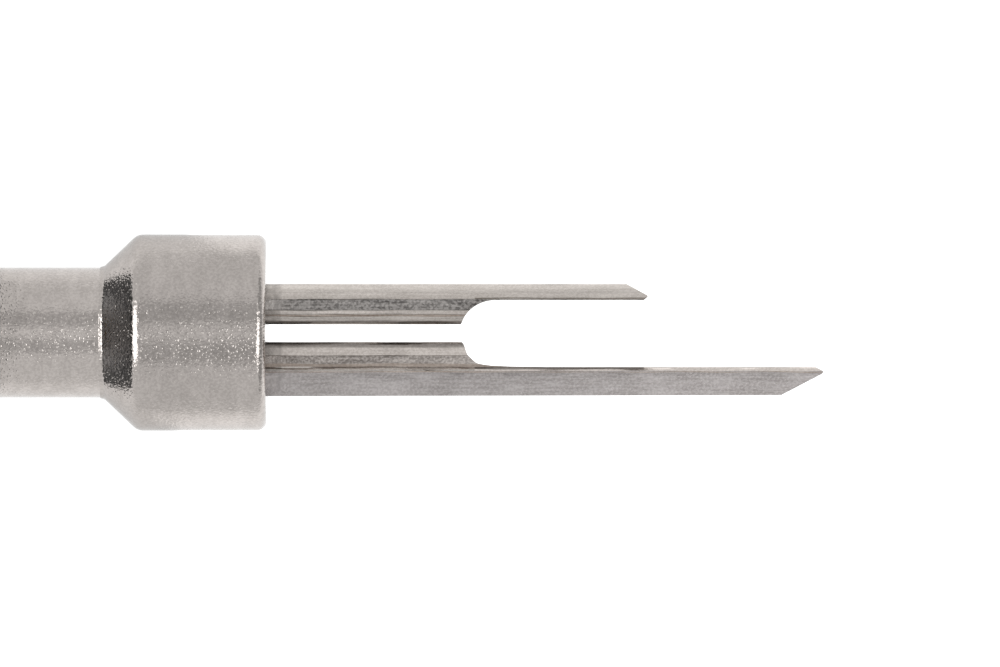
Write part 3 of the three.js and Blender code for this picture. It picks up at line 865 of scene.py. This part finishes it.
def soft_least(a, b, blend):
    """The smaller of two lengths, rounded over where they cross."""
    h = max(blend - abs(a - b), 0.0) / blend
    return min(a, b) - h * h * blend / 4


def hexagon_radius(angle):
    """Distance from the axis to the hexagon's flats in this direction."""
    sixth = FULL_TURN / 6
    off = (angle + sixth / 2 + math.pi / 6) % sixth - sixth / 2
    return ACROSS_FLATS / 2 / math.cos(off)


def zigzag(u):
    """1 at whole numbers and 0 halfway between them."""
    return abs(2 * (u - math.floor(u)) - 1)


def knurl_share(depth):
    """How deep the knurling is cut at this distance from the barrel's end: 0 or 1, with
    short run-outs at the edges of each band."""
    edges = [0.9 * MM]
    for ring in RING_DEPTHS:
        edges += [ring - GROOVE_HALF - KNURL_MARGIN, ring + GROOVE_HALF + KNURL_MARGIN]
    edges.append(GRIP_LENGTH - 0.5 * MM)
    bands = list(zip(edges[::2], edges[1::2]))
    return max(ease((depth - a) / KNURL_RUNOUT) * ease((b - depth) / KNURL_RUNOUT) for a, b in bands)


def barrel_radius(x, radius, angle):
    """The barrel's outside: knurled on the grips and six-sided between them."""
    inside_limit = 3.8 * MM
    if radius < inside_limit:
        return radius
    depth = min(x - BACK_END, FRONT_END - x)
    on_the_grip = abs(radius - GRIP_RADIUS) < 0.01 * MM
    if depth < GRIP_LENGTH and on_the_grip:
        around = angle / FULL_TURN * KNURL_COUNT
        along = (x - BACK_END) / KNURL_PITCH
        groove = max(zigzag(around + along), zigzag(around - along))
        return radius - KNURL_DEPTH * groove * knurl_share(depth)
    return soft_least(radius, hexagon_radius(angle), 0.12 * MM)


def barrel_half(end_x, direction):
    """The outer outline from the middle of the barrel out to one end."""
    half = BARREL_LENGTH / 2
    close = 0.05 * MM
    flats_end = 23.6 * MM
    outline = [(half, CORNER_RADIUS), (half - 6 * MM, CORNER_RADIUS), (flats_end, CORNER_RADIUS)]
    outline += [(flats_end - close * k, CORNER_RADIUS) for k in range(1, 13)]
    drop = CORNER_RADIUS - GRIP_RADIUS
    outline += [
        (TAPER_START - TAPER_LENGTH * k / TAPER_STEPS, CORNER_RADIUS - drop * k / TAPER_STEPS)
        for k in range(TAPER_STEPS + 1)
    ]
    walls = [ring + side * GROOVE_HALF for ring in reversed(RING_DEPTHS) for side in (1, -1)]
    chamfer_start = 0.5 * MM
    edges = [GRIP_START] + walls + [chamfer_start]
    step = KNURL_PITCH / KNURL_SAMPLES
    for a, b in list(zip(edges, edges[1:]))[::2]:
        count = max(2, round((a - b) / step))
        outline += [(a - (a - b) * k / count, GRIP_RADIUS) for k in range(count + 1)]
        if b > chamfer_start:
            outline += [(b, GROOVE_FLOOR), (b - 2 * GROOVE_HALF, GROOVE_FLOOR)]
    outline += [(chamfer_start, GRIP_RADIUS), (0.12 * MM, 4.15 * MM), (0.0, 3.98 * MM)]
    return placed([(-x, r) for x, r in outline], end_x, direction)


def barrel():
    front = barrel_half(FRONT_END, 1)
    back = barrel_half(BACK_END, -1)
    inside = [
        (FRONT_END, NOSE_SEAT_RADIUS), (FRONT_END - NOSE_SEAT_DEPTH, NOSE_SEAT_RADIUS),
        (FRONT_END - NOSE_SEAT_DEPTH, BORE_RADIUS), (BACK_END + NOSE_SEAT_DEPTH, BORE_RADIUS),
        (BACK_END + NOSE_SEAT_DEPTH, NOSE_SEAT_RADIUS), (BACK_END, NOSE_SEAT_RADIUS),
    ]
    outline = list(reversed(back)) + front[1:] + inside
    return lathe("barrel_body", outline, segments=BARREL_SEGMENTS, closed=True,
                 radius_at=barrel_radius)


dress(barrel(), BLACK_ANODISED, "black_aluminium", "handle", "barrel")


def grip_ring(name, end_x, direction, depth):
    """A rubber ring with an arched outside, depth in from the barrel's end."""
    half = 0.8 * MM
    low = 4.15 * MM
    side = 4.45 * MM
    crown = 4.72 * MM
    steps = 12
    turns = [math.pi * k / steps for k in range(1, steps)]
    profile = [(-half, low), (-half, side)]
    profile += [(-half * math.cos(a), side + (crown - side) * math.sin(a)) for a in turns]
    profile += [(half, side), (half, low)]
    centred = [(x - depth, radius) for x, radius in profile]
    return lathe(name, placed(centred, end_x, direction), segments=160, closed=True)


for end, end_x, direction in (("front", FRONT_END, 1), ("rear", BACK_END, -1)):
    for number, depth in enumerate(RING_DEPTHS, 1):
        ring = grip_ring(f"{end}_rubber_{number}", end_x, direction, depth)
        dress(ring, GRIP_RUBBER, "rubber", "handle", f"{end}_grip_ring_{number}")


def stop_pin(name, node):
    """A dowel that stands across the barrel, with slightly domed ends."""
    low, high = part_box(node)
    radius = half_width(node)
    dome = 0.1 * MM
    steps = 6
    turns = [math.pi / 2 * k / steps for k in range(1, steps + 1)]
    outline = [(low.z, 0.0)]
    outline += [(low.z + dome * (1 - math.cos(a)), radius * math.sin(a)) for a in turns]
    outline += [(high.z - (z - low.z), r) for z, r in reversed(outline)]
    piece = lathe(name, outline, segments=48)
    centre = middle(node)
    for vertex in piece.data.vertices:
        x, y, z = vertex.co
        vertex.co = (centre.x + y, z - AXIS_Z, x)
    return piece


for end in ("front", "rear"):
    dress(stop_pin(f"{end}_dowel", f"{end}_stop_pin"), SPRING_STEEL, "spring_steel",
          "handle", f"{end}_stop_pin")


# ---- Push pin -----------------------------------------------------------------------------

def pin_shank():
    """A round shank that narrows to a sleeve for the pin."""
    outline = scaled([
        (-24.5, 0.0), (-24.5, 1.6), (-24.1, 2.0), (15.4, 2.0), (19.5, 1.0), (22.0, 1.0),
        (22.0, 0.53), (14.1, 0.53), (14.1, 0.0),
    ])
    return lathe("pin_shank_rod", placed(rounded(outline, 0.25 * MM, steps=5), BACK_END, -1))


def pin_point():
    """A hardened pin that is stepped down to the width of a lug hole."""
    reach = (BACK_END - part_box("pin_point")[0].x) / MM
    outline = scaled([
        (14.2, 0.0), (14.2, 0.5), (27.6, 0.5), (27.9, 0.38), (reach - 0.12, 0.38),
        (reach, 0.26), (reach, 0.0),
    ])
    return lathe("pin_point_wire", placed(rounded(outline, 0.08 * MM), BACK_END, -1), segments=96)


dress(pin_shank(), SHANK_NICKEL, "satin_steel", "push_pin", "pin_shank")
dress(pin_point(), SPRING_STEEL, "spring_steel", "push_pin", "pin_point")


# ---- Studio -------------------------------------------------------------------------------

FLOOR_HALF = 3.0
# The floor's painted pool of light fades between two distances from the middle of the floor. They
# are measured across the tool: along it, the same light reaches 1 / POOL_SQUEEZE times as far.
POOL_SQUEEZE = 0.25
POOL_NEAR = 11 * MM
POOL_FAR = 36 * MM
GLOW_NEAR = 15 * MM            # the same two distances for the stronger painted glow under the fork
GLOW_FAR = 29 * MM
GLOW_BACK = 49.98 * MM         # where along the tool the stronger glow starts
GLOW_BLEND = 0.6 * MM          # and over what length
GLOW_SLANT = -0.06             # how far its back edge leans


def floor():
    """White paper with painted light: it glows softly in a long pool under the tool, and more under the
    fork.
    """
    corners = [(-1, -1, 0), (1, -1, 0), (1, 1, 0), (-1, 1, 0)]
    vertices = [Vector(corner) * FLOOR_HALF for corner in corners]
    piece = make_object("studio_floor", vertices, [(0, 1, 2, 3)], smooth=False)
    n = Nodes("white_paper_painted_glow")
    fibre = n.noise(n.position, scale=900, detail=3.0)
    colour = n.mix(fibre, (0.15, 0.15, 0.15), (0.17, 0.17, 0.17))
    away = n.add("ShaderNodeVectorMath", operation="LENGTH")
    n.link(n.stretched(POOL_SQUEEZE, 1.0, 1.0), away.inputs[0])
    pool = n.ramp(away.outputs["Value"], POOL_NEAR, POOL_FAR, 0.95, 0.65)
    glow = n.ramp(away.outputs["Value"], GLOW_NEAR, GLOW_FAR, 0.42, 0.0)
    forward = n.add("ShaderNodeVectorMath", operation="DOT_PRODUCT")
    n.link(n.position, forward.inputs[0])
    forward.inputs[1].default_value = (1.0, GLOW_SLANT, 0.0)
    front = n.ramp(forward.outputs["Value"], GLOW_BACK, GLOW_BACK + GLOW_BLEND, 0.0, 1.0)
    added = n.mix(front, (0.0, 0.0, 0.0), glow)
    # Painted light: the paper's emission is a glowing pool under the tool, stronger under the fork.
    n.link(n.total(pool, added), n.shader.inputs["Emission Strength"])
    n.shader.inputs["Emission Color"].default_value = (1.0, 1.0, 1.0, 1.0)
    piece.data.materials.append(n.finish(colour, n.ramp(fibre, 0.3, 0.7, 0.85, 0.95)))


# The room's brightness by height: 0 is level with the tool and 1 is straight above it.
SKY_STEPS = [(0.0, 0.86), (0.77, 0.84), (0.82, 0.60), (0.962, 0.58), (0.985, 0.80), (1.0, 0.90)]


def sky():
    """A pale studio room whose ceiling is darker in a ring round the zenith, and whose end
    wall ahead of the tool is dimmer than the rest."""
    world = bpy.data.worlds.new("studio")
    bpy.context.scene.world = world
    world.use_nodes = True
    tree = world.node_tree
    background = tree.nodes["Background"]
    direction = tree.nodes.new("ShaderNodeTexCoord").outputs["Generated"]
    split = tree.nodes.new("ShaderNodeSeparateXYZ")
    tree.links.new(direction, split.inputs["Vector"])
    ramp = tree.nodes.new("ShaderNodeValToRGB")
    ramp.color_ramp.interpolation = "LINEAR"
    elements = ramp.color_ramp.elements
    while len(elements) < len(SKY_STEPS):
        elements.new(0.5)
    for element, (place, value) in zip(elements, SKY_STEPS):
        element.position = place
        element.color = (value, value, value, 1.0)
    tree.links.new(split.outputs["Z"], ramp.inputs["Fac"])
    dim = tree.nodes.new("ShaderNodeMapRange")
    tree.links.new(split.outputs["X"], dim.inputs["Value"])
    for key, value in (("From Min", 0.5), ("From Max", 0.62), ("To Min", 1.0), ("To Max", 0.55)):
        dim.inputs[key].default_value = value
    tree.links.new(ramp.outputs["Color"], background.inputs["Color"])
    tree.links.new(dim.outputs["Result"], background.inputs["Strength"])


def softbox(name, towards_x, towards_y, width, depth, radiance):
    """A rectangular lamp aimed at the fork. towards_x and towards_y are how far it stands
    from straight above, in degrees; width runs across the tool and depth along it."""
    distance = 0.6
    target = Vector((COLLAR_FACE, 0.0, AXIS_Z))
    direction = Vector((math.tan(math.radians(towards_x)), math.tan(math.radians(towards_y)), 1.0))
    light = bpy.data.lights.new(name, "AREA")
    light.shape = "RECTANGLE"
    light.size = width
    light.size_y = depth
    light.energy = radiance * math.pi * width * depth
    lamp = bpy.data.objects.new(name, light)
    lamp.location = target + direction.normalized() * distance
    lamp.rotation_mode = "QUATERNION"
    lamp.rotation_quaternion = (-direction).to_track_quat("-Z", "Y")
    bpy.context.scene.collection.objects.link(lamp)


def camera():
    """Looks straight down on the fork, with the tool's axis level across the picture."""
    frame_width = 30.8 * MM
    ahead = 7.18 * MM
    aside = -0.03 * MM
    lens = 400.0
    data = bpy.data.cameras.new("camera")
    data.lens = lens
    data.clip_start = 0.05
    data.clip_end = 20.0
    distance = frame_width * lens / data.sensor_width
    eye = bpy.data.objects.new("camera", data)
    eye.location = (COLLAR_FACE + ahead, aside, AXIS_Z + distance)
    bpy.context.scene.collection.objects.link(eye)
    bpy.context.scene.camera = eye


floor()
sky()
softbox("front_softbox", towards_x=34, towards_y=-11, width=0.58, depth=0.36, radiance=2.1)
softbox("back_softbox", towards_x=-45, towards_y=-2, width=0.62, depth=0.40, radiance=2.1)
camera()
bpy.context.scene.view_settings.view_transform = "Standard"
